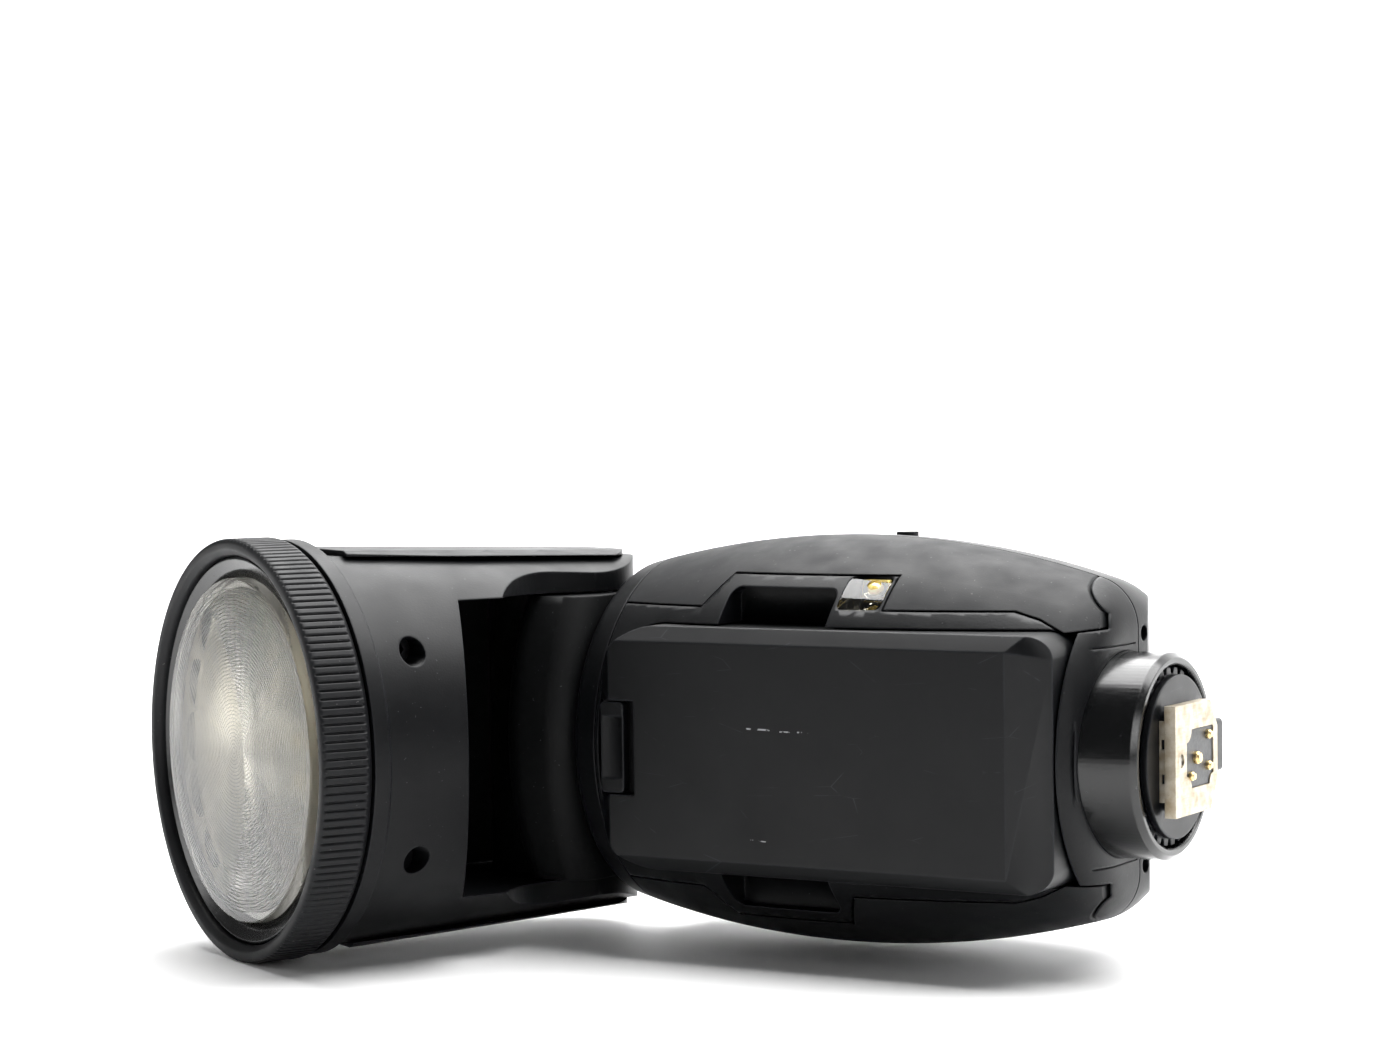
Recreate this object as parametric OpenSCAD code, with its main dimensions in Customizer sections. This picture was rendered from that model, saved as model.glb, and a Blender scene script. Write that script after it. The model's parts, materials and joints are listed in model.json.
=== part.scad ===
// Round-head on-camera flash, lying on its left-right sides as it is put down on a table.
// The foot end points along +X, the battery face looks along -Y, the display side along +Y.
// The head tilts about the vertical axis of its fork; that axis is x = 0, y = 0 before placing.

/* [Head] */
// Outer diameter of the zoom ring
ring_d = 75; // [73:0.5:77]
// Width of the zoom ring along the head
ring_w = 9.6; // [9:0.1:10.2]
// Number of grip ribs round the zoom ring
rib_count = 160; // [100:4:180]
// Width of the gloss ring between the front lens and the zoom ring
bezel_w = 3.9; // [3.6:0.1:5]
// Number of steps on the back of the front lens
lens_steps = 22; // [14:1:28]
// Distance from the tilt axis to the front of the zoom ring
head_reach = 65.8; // [65:0.1:68]
// How far each side cover lies inside the outline of the zoom ring
side_inset = 4; // [3.8:0.1:4.2]
// Angle of the head above straight forward while it rests
head_tilt = 28; // [15:1:45]

/* [Body] */
// Widest diameter of the bulging body
body_d = 73; // [71:0.5:74]
// Distance from the tilt axis to the top of the body
body_top = 18; // [17.5:0.1:19]
// Length of the body from its top to the foot end
body_len = 96.5; // [96:0.5:98]
// Distance from the tilt axis plane to the flat display face
back_depth = 35; // [34:0.5:37]
// Wall thickness of the body shells
wall = 2.2; // [1.8:0.1:2.6]
// Thickness of the rubber skin on the sides
grip_t = 1.3; // [1:0.1:1.5]

/* [Battery] */
// Width of the battery
battery_w = 43; // [42:0.2:43.6]
// Length of the battery
battery_len = 85.5; // [84:0.5:86.5]
// Distance from the tilt axis plane to the outer face of the battery
battery_face = 26.2; // [25.6:0.1:27]
// Bevel along the long edges of the battery
battery_bevel = 2.6; // [1.5:0.1:3.5]

/* [Controls] */
// Diameter of the settings dial
dial_d = 30; // [26:1:32]
// Height of the display opening along the body
display_len = 31; // [26:1:33]
// Width of the display opening
display_w = 37; // [32:1:39]

/* [Foot] */
// Outer diameter of the foot collar
collar_d = 35.1; // [34:0.1:36]
// Width of the shoe plate that slides into the accessory shoe
shoe_w = 18.6; // [18.5:0.05:18.7]
// Thickness of the shoe plate
shoe_t = 2; // [1.8:0.05:2.05]
// Distance from the tilt axis to the sole of the shoe plate
sole_reach = 127.5; // [127:0.5:129]
// Number of teeth on the locking wheel
wheel_teeth = 30; // [20:2:40]

/* [Hidden] */
$fn = 96;

play = 0.3;                               // clearance between pieces that move apart
fit = 0.05;                               // radial clearance of a pin in its bore
seam = 0.3;                               // width of the line between two fitted shells
cable_r = 7;                              // passage for the leads from body to head
plate_t = 3.4;                            // thickness of the swivel plate in the shoulder ring
eps = 0.01;
far = 300;

black = "#1b1c1f";
rubber_black = "#232427";
gloss_black = "#101113";
steel = "#b9b6ae";
clear = "#dfe3df";

ring_r = ring_d / 2;
spigot_r = ring_r - 3.1;                  // sleeve that the zoom ring turns on
flange_h = 0.8;
rim_edge = 0.7;                           // bevel round the front rim
rib_stop = 0.4;                           // the ribs end this far behind the rim
ring_back = head_reach - ring_w;
lens_r = spigot_r - bezel_w;
side_taper = 1.9;                         // the side covers widen towards the ring, degrees
cover_t = 1;                              // how far a side cover stands proud
head_half = ring_r - side_inset - cover_t;
tail_r = 15.5;                            // rounded end of the fork arms
tail_shift = 1;
slot_half = 26.2;                         // half of the gap between the fork arms
slot_front = 29.6;
drum_r = 12.4;
pin_r = 4;
neck_half = slot_half - play - 0.2;
neck_front = 24.5;
neck_back = 13;

body_r = body_d / 2;
body_axis = 7.5;                          // centre of the round section, behind the foot axis
body_end = body_top + body_len;
bulge_r = 165;                            // radius of the bulge along the body
bulge_x = body_top + 43;                  // widest place along the body
shoulder_w = 5.6;                         // length of the separate shoulder ring
shell_start = body_top + shoulder_w + seam;
parting = 6;                              // where the front and back shells meet
stem_r = 14;
slant_y = 10.2;                           // from here the foot end slants towards the display face
slant = 22;

bay_start = body_top + shoulder_w + 1;    // inner end of the battery bay
battery_start = bay_start + 0.4;
battery_back = -4.6;
battery_half = battery_w / 2;
bay_half = battery_half + play;
cell_r = 9.1;
latch_half = 8;
latch_floor = 2.6 - battery_face;          // floor of the latch recess in the battery

grip_line = 24.5;                         // edge of the rubber skin beside the battery
grip_high = 30.1;                         // the same edge where it steps up round the finger recess
recess_start = bulge_x - 14;
recess_end = bulge_x + 7.5;
window_start = recess_end + 0.7;
window_end = window_start + 8;
lamp_x = (window_start + window_end) / 2 + 0.9;
lamp_z = (grip_line + grip_high) / 2 + 0.1;
skin_y = body_axis - sqrt(body_r * body_r - lamp_z * lamp_z); // surface of the body at the focus window
pocket_y = skin_y + 5.1;                  // floor of the window's pocket
window_y = skin_y + 3.4;                  // back of the window
end_round = 11;                           // rounding at the inner end of the battery
pad_x = battery_start + 6;                // battery contacts

display_x = body_top + 12;                // upper edge of the display opening
dial_x = body_top + 66;
key_x = body_top + 47.8;
key_z = 13;
low_key_x = body_top + 81.5;
low_key_z = 13.3;
low_key_r = 3.4;
island_r = 9.4;                           // fixed island inside the settings dial
centre_r = 7.2;
side_key_x = bulge_x + 6.6;
side_key_y = 12;
port_x = body_top + 80;
board_y = back_depth - 9;
switch_y = board_y + 3.6;                 // top of the switches on the main board
key_base = switch_y + 0.6;
key_lip = 0.9;
lip_top = back_depth - wall - play;
// Screw posts between the board and the display face, as (along, across)
post_places = [[body_top + 9, 12], [body_top + 9, -12], [key_x - 0.8, 21], [key_x - 0.8, -21], [body_top + 84, 0]];

dial_h = 3;
pin_rise = 0.7;                           // contact pins stand this far out of the sole

collar_r = collar_d / 2;
collar_end = sole_reach - 3.8;
cup_r = collar_r - 2.1;                   // inside of the collar
cup_floor = collar_end - 4.6;
boss_r = 10;
wheel_r = cup_r - 0.4;
collar_start = battery_start + battery_len + 1.3;
disc_r = cup_r - 1.6;                     // round cover over the locking wheel
end_screw_y = 8.6;
end_screw_z = 20;
lock_pin_y = -6.6;
// Place across the sole and radius of each contact pin: centre contact first
pin_places = [[0, 0, 1.1], [5.2, 3.5, 0.8], [5.2, -1.8, 0.8], [-2.4, -2.9, 0.8]];

// The whole flash stands on z = 0, centred over the middle of its outline.
rest_x_min = -(head_reach - rib_stop) * sin(head_tilt) - ring_r * cos(head_tilt);
rest_y_min = -head_reach * cos(head_tilt) - (ring_r - rim_edge) * sin(head_tilt);
rest_y_max = back_depth + dial_h;
place_x = -(rest_x_min + sole_reach + pin_rise) / 2;
place_y = -(rest_y_min + rest_y_max) / 2;

// ---------- helpers ----------

module place() {
    translate([place_x, place_y, ring_r]) children();
}

// Head pieces are drawn with the light axis along +X and the underside along +Y.
module in_head() {
    place() rotate([0, 0, -90 - head_tilt]) children();
}

// Turns a profile drawn as (radius, distance along the axis) about the X axis.
module turned(a = 360, from = 0) {
    rotate([0, 90, 0]) rotate_extrude(angle = a, start = from) children();
}

module rod(r, from, to) {
    translate([from, 0, 0]) rotate([0, 90, 0]) cylinder(r = r, h = to - from);
}

module block(x, y, z) {
    translate([x[0], y[0], z[0]]) cube([x[1] - x[0], y[1] - y[0], z[1] - z[0]]);
}

// Flat plate profile, seen along its thickness.
module rounded_rect(x, y, r) {
    translate([x[0] + r, y[0]]) square([x[1] - x[0] - 2 * r, y[1] - y[0]]);
    translate([x[0], y[0] + r]) square([x[1] - x[0], y[1] - y[0] - 2 * r]);
    for (cx = [x[0] + r, x[1] - r], cy = [y[0] + r, y[1] - r]) translate([cx, cy]) circle(r = r);
}

// A plate with rounded corners in x and z, from y[0] to y[1].
module plate_y(x, z, r, y) {
    translate([0, y[1], 0]) rotate([90, 0, 0]) linear_extrude(y[1] - y[0]) rounded_rect(x, z, r);
}

// A plate with rounded corners in x and y, from z[0] to z[1].
module plate_z(x, y, r, z) {
    translate([0, 0, z[0]]) linear_extrude(z[1] - z[0]) rounded_rect(x, y, r);
}

module round_y(x, z, r, y) {
    translate([x, y[1], z]) rotate([90, 0, 0]) cylinder(r = r, h = y[1] - y[0]);
}

module mirrored_z(side) {
    if (side > 0) children();
    else mirror([0, 0, 1]) children();
}

// ---------- head ----------

// Ribbed outline of the zoom ring: flat-topped ribs with narrow valleys.
function rib_points(r, depth) = [
    for (i = [0 : rib_count - 1], k = [0 : 2])
        let (a = 360 / rib_count * (i + [0, 0.3, 0.65][k]), q = k == 0 ? r - depth : r)
        [q * cos(a), q * sin(a)]
];

module zoom_ring() {
    rib_from = ring_back + 1;
    rib_to = head_reach - rib_stop;
    color(rubber_black) in_head() {
        difference() {
            union() {
                turned() polygon([
                    [spigot_r + fit, ring_back], [ring_r - 0.9, ring_back], [ring_r - 0.45, rib_from],
                    [ring_r - 0.45, rib_to], [ring_r - rim_edge, head_reach],
                    [ring_r - rim_edge - 1.2, head_reach],
                    [spigot_r + 0.4, head_reach - 0.9],
                    [spigot_r + fit, head_reach - 1.9]
                ]);
                translate([rib_from, 0, 0]) rotate([0, 90, 0])
                    linear_extrude(rib_to - rib_from) polygon(rib_points(ring_r, 0.6));
            }
            rod(spigot_r + fit, ring_back - 1, head_reach + 1);
            rod(spigot_r + flange_h + play, head_reach - 7.1, head_reach - 5.3);
        }
    }
}

module lens_bezel() {
    color(gloss_black) in_head() {
        turned() polygon([
            [lens_r + 0.2, head_reach - 6.4], [lens_r + 0.2, head_reach - 2.9], [spigot_r - 0.6, head_reach - 1.6],
            [spigot_r, head_reach - 2], [spigot_r, head_reach - 7.6], [lens_r - 1.8, head_reach - 7.6],
            [lens_r - 1.8, head_reach - 6.4]
        ]);
        // flange that holds the zoom ring on its sleeve
        turned() translate([spigot_r - 0.5, head_reach - 6.8]) square([flange_h + 0.5, 1.2]);
    }
}

// Stepped back of the lens: each step is a slanting face and a short riser.
function step_points(r, back) = [
    for (i = [0 : lens_steps - 1], k = [0, 1])
        [r * (i + k) / lens_steps, back - (k == 0 ? 0 : 0.15 + 0.75 * (i + 1) / lens_steps)]
];

module front_lens() {
    back = head_reach - 5.2;
    dome_r = 800;
    dome_rise = dome_r - sqrt(dome_r * dome_r - lens_r * lens_r);
    color(clear, 0.7) in_head() intersection() {
        turned() polygon(concat(step_points(lens_r - 1.9, back), [
            [lens_r - 1.9, back - 1.1], [lens_r, back - 1.1], [lens_r, head_reach - 0.6],
            [lens_r - 0.5, head_reach + 2], [0, head_reach + 2]
        ]));
        turned() intersection() {
            translate([0, head_reach - 0.9 + dome_rise - dome_r]) circle(r = dome_r, $fn = 360);
            translate([0, back - 3]) square([lens_r + 1, 12]);
        }
    }
}

// Scalloped white ring that the light leaves through, with a notch between its lobes.
module lens_frame() {
    lobes = 16;
    rim = lens_r - 1.9;
    color("#e8e6df") in_head() difference() {
        rod(spigot_r - 1, head_reach - 9.6, led_floor);
        for (i = [0 : lobes - 1])
            rotate([360 / lobes * i, 0, 0]) translate([0, rim - 4.6, 0]) rod(4.4, head_reach - 11, head_reach);
        rod(rim - 4.6, head_reach - 11, head_reach);
    }
}

led_v = 23.6;                             // distance of the modelling lamps from the light axis
led_gap = 3.8;
led_floor = head_reach - 8.4;
led_top = led_floor + 0.9;

module led_board() {
    color("#e8e6df") in_head() intersection() {
        rod(spigot_r - 2.2, led_floor, led_top);
        block([0, far], [led_v - 3.2, led_v + 3.2], [-8, 8]);
    }
}

module modelling_led(side) {
    color("#f4efd8") in_head() translate([led_top, led_v, side * led_gap]) intersection() {
        translate([-1.1, 0, 0]) sphere(r = 2.1);
        block([0, 1], [-3, 3], [-3, 3]);
    }
}

guide_r = 5;
guide_back = slot_front + 2.4;            // rear end of the bore that guides the reflector
chamber_back = guide_back + 5.6;
reflector_front = head_reach - 10.2;
reflector_floor = chamber_back + 5.7;
reflector_depth = reflector_front - reflector_floor;
reflector_mouth = 24;
tube_u = reflector_floor + 7;
tube_half = 22;

// Solid bowl of one round sweep, open side forward.
module bowl(grow, front) {
    sweep_r = (pow(reflector_mouth, 2) + pow(reflector_depth, 2)) / (2 * reflector_depth);
    turned() intersection() {
        translate([0, reflector_floor + sweep_r]) circle(r = sweep_r + grow, $fn = 120);
        translate([0, reflector_floor - 5]) square([reflector_mouth + 5, front - reflector_floor + 5]);
    }
}

module reflector() {
    color("#d9dadb") in_head() difference() {
        union() {
            bowl(1, reflector_front);
            rod(guide_r, guide_back + 4.3, reflector_floor);
        }
        bowl(0, reflector_front + 1);
        translate([tube_u, 0, -far / 2]) cylinder(r = 2.3, h = far);
    }
}

module flash_tube() {
    color("#f2f2ee") in_head() translate([tube_u, 0, -tube_half]) cylinder(r = 2.25, h = 2 * tube_half);
}

crown_r = ring_r - 4.1;                   // round back of the head
crown_u = ring_back - 26.2;
collar_u = ring_back - 4;                 // start of the round collar behind the zoom ring
barrel_r = 33.4;                          // radius of the round head at the tilt axis
barrel_flare = 0.05;                      // growth of that radius along the head
run_in = 9;                               // the flat underside of the arms ends here
run_in_r = 18.25;                         // hollow of its run-in to the barrel

// Side outline of the head in three parts: tail and middle, round crown, and the back between.
module head_outline(part) {
    lean = asin((crown_r - tail_r) / (crown_u - tail_shift));
    back = [-sin(lean), -cos(lean)];
    inside = 0.2;
    if (part == 0) {
        translate([tail_shift, 0]) circle(r = tail_r);
        difference() {
            translate([tail_shift, -tail_r / 2]) square([crown_u, far]);
            translate([-far, tail_r]) square([far + run_in, far]);
            translate([run_in, tail_r + run_in_r]) circle(r = run_in_r);
        }
        translate([crown_u, -crown_r]) square([far, far]);
    }
    if (part == 1) intersection() {
        translate([crown_u, 0]) circle(r = crown_r);
        translate([-far, -far]) square([2 * far, far + tail_r]);
    }
    if (part == 2) polygon([
        [tail_shift + 2, 0], [tail_shift, 0] + (tail_r - inside) * back,
        [crown_u, 0] + (crown_r - inside) * back, [crown_u + 2, 0]
    ]);
}

// Round barrel about the light axis, a little wider towards the zoom ring.
module barrel(grow) {
    from = -30;
    to = collar_u + 0.4;
    turned() polygon([
        [0, from], [barrel_r + barrel_flare * from + grow, from],
        [barrel_r + barrel_flare * to + grow, to], [0, to]
    ]);
}

// The space between the two flat sides, which spread towards the ring.
module between_sides() {
    intersection() {
        rotate([0, -side_taper, 0]) block([-far, far], [-far, far], [-far, head_half]);
        rotate([0, side_taper, 0]) block([-far, far], [-far, far], [-head_half, far]);
    }
}

module head_form() {
    intersection() {
        for (part = [0 : 2]) intersection() {
            translate([0, 0, -60]) linear_extrude(120) head_outline(part);
            barrel(0);
        }
        between_sides();
    }
    turned() polygon([
        [0, collar_u], [ring_r - 1.8, collar_u], [ring_r - 0.5, collar_u + 0.8],
        [ring_r - 0.5, ring_back - seam], [0, ring_back - seam]
    ]);
}

// Room between the fork arms for the neck, from forward to straight up. Its front wall leans
// out below the arms.
module fork_slot() {
    ceiling = neck_back + 0.8;
    lean = 21;
    reach = 40;
    block([-40, slot_front], [-ceiling, tail_r - 1], [-slot_half, slot_half]);
    translate([0, 0, -slot_half]) linear_extrude(2 * slot_half) polygon([
        [-40, 0], [slot_front, 0], [slot_front, tail_r], [slot_front + reach * tan(lean), tail_r + reach], [-40, tail_r + reach]
    ]);
}

// Holes for the two screws under the head.
hole_u = ring_back - 10.8;
hole_r = 2.5;
hole_from = 22;
function hole_z(side) = side > 0 ? 18.3 : 17.6;

module head_shell() {
    chamber_r = spigot_r - 2.6;
    color(black) in_head() difference() {
        union() {
            head_form();
            rod(spigot_r, ring_back - 1, head_reach - 7.9);
        }
        fork_slot();
        // light chamber, and the guide bore of the reflector's stem
        turned() polygon([
            [0, chamber_back], [9, chamber_back], [18, chamber_back + 4.4], [22, chamber_back + 8],
            [26.5, chamber_back + 12], [chamber_r, reflector_front - 0.8],
            [chamber_r, reflector_front + 0.4], [chamber_r, head_reach - 9.7], [spigot_r - 0.9, head_reach - 9.7],
            [spigot_r - 0.9, head_reach], [0, head_reach]
        ]);
        rod(guide_r + fit, guide_back, chamber_back + 1);
        // channel for the ends of the flash tube
        block([tube_u - 7, reflector_front], [-2.9, 2.9], [-tube_half - 0.6, tube_half + 0.6]);
        for (side = [1, -1]) mirrored_z(side) {
            translate([hole_u, hole_from, hole_z(side)]) rotate([-90, 0, 0]) cylinder(r = hole_r, h = 20);
            translate([0, 0, slot_half - 1]) cylinder(r = pin_r + 0.02, h = 30);
        }
    }
}

cover_half = 12.6;

module side_cover(side) {
    color(black) in_head() mirrored_z(side) intersection() {
        rotate([0, -side_taper, 0]) translate([0, 0, head_half + eps]) linear_extrude(cover_t) {
            translate([tail_shift, 0]) circle(r = cover_half);
            translate([tail_shift, -cover_half]) square([collar_u - 2.2 - tail_shift, 2 * cover_half]);
        }
        barrel(cover_t);
    }
}

module head_screw(side) {
    color("#3a3b3e") in_head() translate([hole_u, hole_from, side * hole_z(side)]) rotate([-90, 0, 0]) difference() {
        cylinder(r = hole_r - 0.02, h = 2.6);
        translate([0, 0, 1.2]) cylinder(r = 1.3, h = 3, $fn = 6);
    }
}

module tilt_pin(side) {
    color(steel) in_head() mirrored_z(side) translate([0, 0, slot_half - 7]) cylinder(r = pin_r, h = 12.5);
}

// ---------- swivel neck ----------

// Rounded nose of the neck that shows between the fork arms.
module neck_nose() {
    nose_r = 50;
    edge = 5;
    intersection() {
        translate([0, nose_r - neck_front, 0]) turned() {
            rounded_rect([nose_r - 24, nose_r], [3, body_top - 0.4], edge);
            translate([8, 3]) square([32, body_top - 3.4]);
        }
        block([0, body_top], [-neck_front - 1, neck_back], [-neck_half, neck_half]);
    }
}

module swivel_neck() {
    color(black) place() difference() {
        union() {
            translate([0, 0, -neck_half]) cylinder(r = drum_r, h = 2 * neck_half);
            neck_nose();
            rod(stem_r, 8, body_top + plate_t + play);
        }
        for (side = [1, -1])
            mirrored_z(side) translate([0, 0, slot_half - 7.3]) cylinder(r = pin_r + fit, h = 10);
        rod(cable_r, 6, far);
    }
}

module swivel_retainer() {
    color(steel) place() difference() {
        rod(16.5, body_top + plate_t + play, body_top + plate_t + play + 1.5);
        rod(cable_r, body_top, far);
    }
}

// ---------- body ----------

// Distance from the body's own axis to the centre of an edge rounding of radius r.
function edge_centre(x, r) = sqrt(pow(bulge_r - r, 2) - pow(x - bulge_x, 2)) - (bulge_r - body_r);

// Place along the body where that rounding runs into the bulge.
function edge_touch(x, r) = bulge_x + bulge_r * (x - bulge_x) / (bulge_r - r);

// Half outline of the bulging body as (radius, distance along the body).
module body_outline(inset) {
    end_r = 9;
    top_r = 2.6;
    end_x = body_end - end_r;
    top_x = body_top + top_r;
    end_c = edge_centre(end_x, end_r);
    top_c = edge_centre(top_x, top_r);
    intersection() {
        translate([body_r - bulge_r, bulge_x]) circle(r = bulge_r - inset, $fn = 720);
        translate([0, edge_touch(top_x, top_r)])
            square([body_r, edge_touch(end_x, end_r) - edge_touch(top_x, top_r)]);
    }
    translate([end_c, end_x]) circle(r = end_r - inset);
    translate([0, end_x - 20]) square([end_c, end_r + 20 - inset]);
    if (inset < top_r) translate([top_c, top_x]) circle(r = top_r - inset);
    translate([0, body_top + inset]) square([top_c, 20]);
}

module body_form(inset = 0) {
    difference() {
        translate([0, body_axis, 0]) turned($fn = 360) intersection() {
            body_outline(inset, $fn = 96);
            translate([0, body_top + inset]) square([body_r, body_len - 2 * inset]);
        }
        block([0, far], [back_depth - inset, far], [-far, far]);
        translate([body_end, slant_y, 0]) rotate([0, 0, slant]) block([-inset, far], [-far, far], [-far, far]);
    }
}

module body_part(x, y, inset = 0) {
    intersection() {
        body_form(inset);
        block(x, y, [-far, far]);
    }
}

module shoulder_ring() {
    color(black) place() difference() {
        body_part([0, body_top + shoulder_w], [-far, far]);
        rod(stem_r + fit, 0, far);
        body_part([body_top + plate_t, far], [-far, far], wall + 0.8);
    }
}

// Edge line of the rubber skin, seen from the battery side.
function grip_points(step_end, slant, short) = [
    [0, grip_line], [recess_start - 5, grip_line], [recess_start - 1.6, grip_high],
    [step_end + short / 2, grip_high], [step_end + slant + short / 2, grip_line],
    [bulge_x + 39, grip_line], [bulge_x + 43.5, grip_line - 1.3], [body_end - 5.5, grip_line - 3.5],
    [body_end - 0.8 - short, grip_line - 3], [body_end - 1.6 - short, grip_line - 0.5],
    [body_end - 5.5 - short, grip_line + 3.5], [body_end - 12 - short, grip_line + 11.5],
    [body_end - 12 - short, 50], [0, 50]
];

module grip_area(side, lift) {
    short = lift * 2.4;
    points = side > 0 ? grip_points(window_end + 0.4, 0, short) : grip_points(recess_end, 3.4, short);
    mirrored_z(side) translate([0, parting + 10, 0]) rotate([90, 0, 0])
        linear_extrude(70) translate([0, lift]) polygon(points);
}

module grip(side) {
    color(rubber_black) place() difference() {
        intersection() {
            body_part([shell_start, body_end - 0.4], [-far, parting - seam / 2]);
            grip_area(side, seam);
        }
        body_form(grip_t);
    }
}

module finger_recess(side, grow = 0) {
    floor_y = skin_y + 4.1;
    mirrored_z(side) plate_y([recess_start - grow, recess_end + grow], [battery_half - 3, grip_high - 2 + grow],
        1.8 + grow, [-40, floor_y + grow]);
}

module focus_pocket(shrink, floor_y) {
    plate_y([window_start + shrink, window_end - shrink], [grip_line + 0.2 + shrink, grip_high - shrink],
        0.9 - shrink / 2, [-40, floor_y]);
}

// Everything behind the outer skin that stays solid: bay walls, recess and window surrounds.
module front_blocks() {
    bay_end = battery_start + battery_len + 2.2;
    block([shell_start - 1, bay_end], [-far, battery_back + play + 1.8], [-bay_half - 1.8, bay_half + 1.8]);
    for (side = [1, -1]) finger_recess(side, 1.5);
    block([window_start - 1.4, window_end + 1.4], [-far, pocket_y + 2.5], [bay_half, grip_high + 1]);
}

// Passage for the leads behind the swivel, clear of the battery bay.
module cable_way() {
    intersection() {
        rod(cable_r, body_top, body_top + 12);
        block([0, far], [battery_back + play + 1.9, far], [-far, far]);
    }
}

// Bore in the end wall for the foot collar.
module collar_seat() {
    rod(collar_r + fit, collar_start - 0.1, far);
}

module end_screw_holes() {
    for (side = [1, -1]) translate([0, end_screw_y, side * end_screw_z]) rod(1.4, body_end - wall - 0.4, far);
}

// Fine line round the end plate that carries the foot collar.
module end_plate_line() {
    half = collar_r + 0.9;
    front_x = body_end - 1.6;
    difference() {
        union() {
            for (side = [1, -1]) mirrored_z(side) block([front_x, far], [-far, parting - 1], [half, half + 0.25]);
            block([front_x, front_x + 0.25], [-far, -collar_r], [-half, half + 0.25]);
        }
        body_form(0.4);
    }
}

// The bay follows the rounded inner end of the battery.
module bay_outline() {
    intersection() {
        rounded_rect([bay_start, far], [-bay_half, bay_half], end_round + play);
        translate([bay_start, -bay_half]) square([battery_len + 0.8, 2 * bay_half]);
    }
}

module front_shell() {
    bay_floor = battery_back + play;
    color(black) place() difference() {
        union() {
            difference() {
                body_part([shell_start, body_end + 1], [-far, parting - seam / 2]);
                for (side = [1, -1]) grip_area(side, 0);
            }
            body_part([shell_start, body_end], [-far, parting - seam / 2], grip_t + 0.1);
        }
        difference() {
            body_part([shell_start + 1.6, body_end], [-far, far], wall);
            front_blocks();
        }
        translate([0, bay_floor, 0]) rotate([90, 0, 0]) linear_extrude(60) bay_outline();
        for (side = [1, -1]) finger_recess(side);
        focus_pocket(0, pocket_y);
        bay_contact_pads(0);
        block([pad_x, pad_x + 3], [battery_back + 0.8, battery_back + 3], [-7, 7]);
        cable_way();
        collar_seat();
        end_plate_line();
    }
}

module focus_window() {
    color(clear, 0.6) place() difference() {
        intersection() {
            focus_pocket(0.1, window_y);
            body_form();
        }
        translate([lamp_x, window_y + 0.3, lamp_z]) sphere(r = 2.2);
    }
}

module focus_lamp() {
    color("#d8c98a") place() {
        plate_y([lamp_x - 2.4, lamp_x + 2.4], [lamp_z - 2.2, lamp_z + 2.2], 0.5, [window_y, pocket_y]);
        intersection() {
            translate([lamp_x, window_y, lamp_z]) sphere(r = 1.8);
            block([0, far], [-far, window_y], [-far, far]);
        }
    }
}

module bay_contact_pads(grow) {
    for (k = [-1 : 1]) block([pad_x - grow, pad_x + 3 + grow], [battery_back + 0.15, battery_back + 1.3],
        [k * 6 - 1.5 - grow, k * 6 + 1.5 + grow]);
}

module bay_contacts() {
    color("#c9a24a") place() {
        bay_contact_pads(0);
        block([pad_x, pad_x + 3], [battery_back + 0.8, battery_back + 1.3], [-7, 7]);
    }
}

// Seat of the dial: a shallow round recess with a fixed island in its middle.
module dial_seat() {
    difference() {
        children();
        round_y(dial_x, 0, dial_d / 2 + play, [back_depth - 0.7, far]);
    }
    round_y(dial_x, 0, island_r, [back_depth - wall, back_depth + 2.4]);
}

module display_opening(shrink, from) {
    plate_y([display_x + shrink, display_x + display_len - shrink],
        [shrink - display_w / 2, display_w / 2 - shrink], 2.4 - shrink / 2, [from, far]);
}

module key_shape(x, z, grow, y) {
    plate_y([x - 2.4 - grow, x + 2.4 + grow], [z - 5.2 - grow, z + 5.2 + grow], 2.2 + grow, y);
}

module back_shell() {
    color(black) place() difference() {
        union() {
            dial_seat() difference() {
                body_part([shell_start, body_end], [parting + seam / 2, far]);
                body_part([shell_start + 1.6, body_end], [-far, far], wall);
            }
            for (p = post_places) round_y(p[0], p[1], 1.8, [board_y + 1.6, back_depth - wall + 0.1]);
        }
        display_opening(0, back_depth - 1.5);
        display_opening(1.2, back_depth - wall - 1);
        for (side = [1, -1]) {
            key_shape(key_x, side * key_z, play, [board_y + 3, far]);
            round_y(low_key_x, side * low_key_z, low_key_r + play, [board_y + 3, far]);
            round_y(low_key_x, side * low_key_z, low_key_r + key_lip + play, [board_y + 3, lip_top + play]);
        }
        round_y(dial_x, 0, centre_r + play, [board_y + 3, far]);
        side_button_bore();
        port_pocket(play, 1.5);
        port_socket();
        cable_way();
        collar_seat();
        end_screw_holes();
    }
}

// ---------- battery ----------

module battery_outline() {
    rounded_rect([battery_start, battery_start + battery_len], [-battery_half, battery_half], 4);
}

// The inner end of the battery is rounded more than its outer end.
module battery_end_round() {
    intersection() {
        battery_outline();
        rounded_rect([battery_start, battery_start + 2 * battery_len], [-battery_half, battery_half],
            end_round);
    }
}

module battery_form() {
    end_x = battery_start + battery_len;
    intersection() {
        translate([0, battery_back, 0]) rotate([90, 0, 0])
            linear_extrude(battery_face + battery_back) battery_end_round();
        rotate([90, 0, 90]) linear_extrude(far) polygon([
            [battery_back + 1, -far], [-battery_face + battery_bevel, -battery_half],
            [-battery_face, battery_bevel - battery_half], [-battery_face, battery_half - battery_bevel],
            [-battery_face + battery_bevel, battery_half], [battery_back + 1, far]
        ]);
        translate([0, 0, -far / 2]) linear_extrude(far) polygon([
            [battery_start, battery_back + 1], [battery_start, -battery_face + 2],
            [battery_start + 2.6, -battery_face], [end_x - 6.2, -battery_face],
            [end_x, -battery_face + 5.6], [end_x, battery_back + 1]
        ]);
    }
}

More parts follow.
